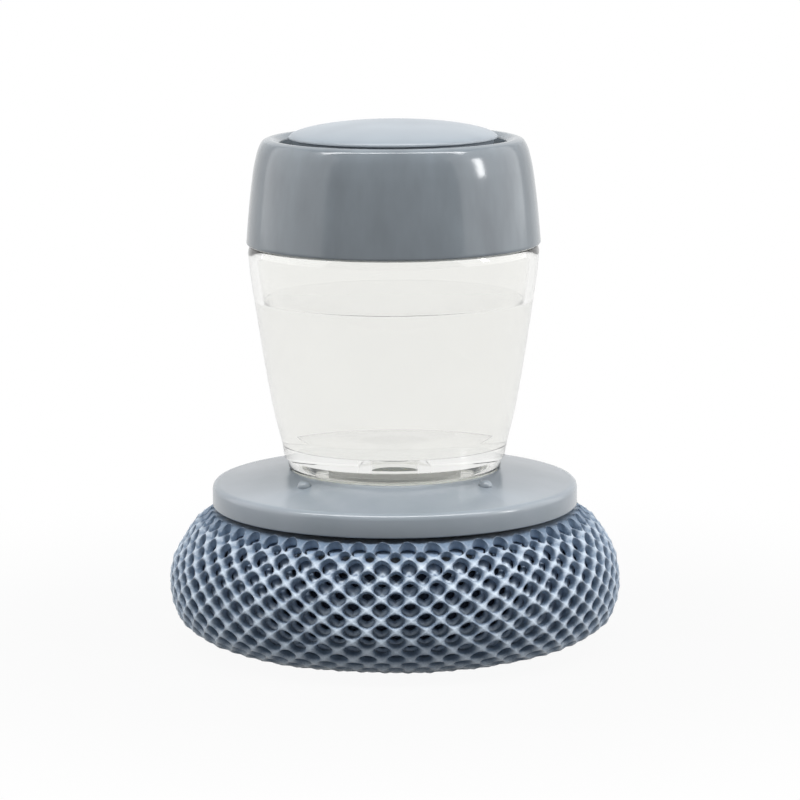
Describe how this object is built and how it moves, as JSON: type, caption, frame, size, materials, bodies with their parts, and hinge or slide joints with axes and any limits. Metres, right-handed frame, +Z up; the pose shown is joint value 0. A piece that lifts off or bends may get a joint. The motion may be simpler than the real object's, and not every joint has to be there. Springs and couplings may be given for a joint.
{
  "type": "soap dispensing palm brush",
  "caption": "Palm brush with a round net scrubbing pad, a clear soap reservoir as its grip and a press button in the cap that pumps soap into the pad.",
  "frame": {"origin": "centre of the pad's flat underside, where the brush stands on a table", "axes": "+Z up the common axis of all turned pieces, through the press button; -Y is the front; X is to the right"},
  "size_m": [0.0886, 0.0886, 0.1019],
  "materials": {
    "gloss_abs_grey": "high gloss moulded ABS",
    "satin_abs_grey": "satin moulded ABS",
    "clear_as": "clear moulded styrene acrylonitrile",
    "white_pp": "natural white polypropylene",
    "silicone": "translucent silicone rubber",
    "spring_steel": "stainless wire",
    "net_yarn": "coarse knitted polyethylene net",
    "foam": "slate open cell foam"
  },
  "bodies": {
    "head": {"head_disc": "satin_abs_grey", "scrub_net": "net_yarn", "inner_net": "net_yarn", "foam_core": "foam", "hem_cord": "net_yarn", "net_clamp_plate": "white_pp", "clamp_screw_1": "spring_steel", "clamp_screw_2": "spring_steel", "clamp_screw_3": "spring_steel", "clamp_screw_4": "spring_steel"},
    "base_seal_carrier": {"base_seal": "silicone"},
    "bottle": {"reservoir": "clear_as", "outlet_valve": "silicone", "valve_retainer": "white_pp"},
    "cap_gasket_carrier": {"cap_gasket": "silicone"},
    "cap": {"cap_shell": "gloss_abs_grey", "pump_body": "white_pp", "air_valve": "silicone", "guide_ring": "white_pp", "return_spring": "spring_steel"},
    "button": {"press_button": "satin_abs_grey", "piston": "white_pp", "piston_seal": "silicone"}
  },
  "joints": [
    {"name": "reservoir_lift", "type": "slide", "parent": "head", "child": "base_seal_carrier", "axis": [0, 0, 1], "range_m": [0, 0.00401]},
    {"name": "reservoir_unscrew", "type": "hinge", "parent": "base_seal_carrier", "child": "bottle", "pos_m": [0, 0, 0.0343], "axis": [0, 0, 1], "range_deg": [0, 480]},
    {"name": "cap_lift", "type": "slide", "parent": "bottle", "child": "cap_gasket_carrier", "axis": [0, 0, 1], "range_m": [0, 0.00534]},
    {"name": "cap_unscrew", "type": "hinge", "parent": "cap_gasket_carrier", "child": "cap", "pos_m": [0, 0, 0.0782], "axis": [0, 0, 1], "range_deg": [0, 480]},
    {"name": "button_press", "type": "slide", "parent": "cap", "child": "button", "axis": [0, 0, -1], "range_m": [0, 0.0045], "stiffness_N_per_m": 400, "springref_m": -0.004, "deforming": ["return_spring"]}
  ],
  "couplings": [
    {"joint": "reservoir_lift", "follows": "reservoir_unscrew", "m_per_rad": 0.00047746},
    {"joint": "cap_lift", "follows": "cap_unscrew", "m_per_rad": 0.00063662}
  ]
}
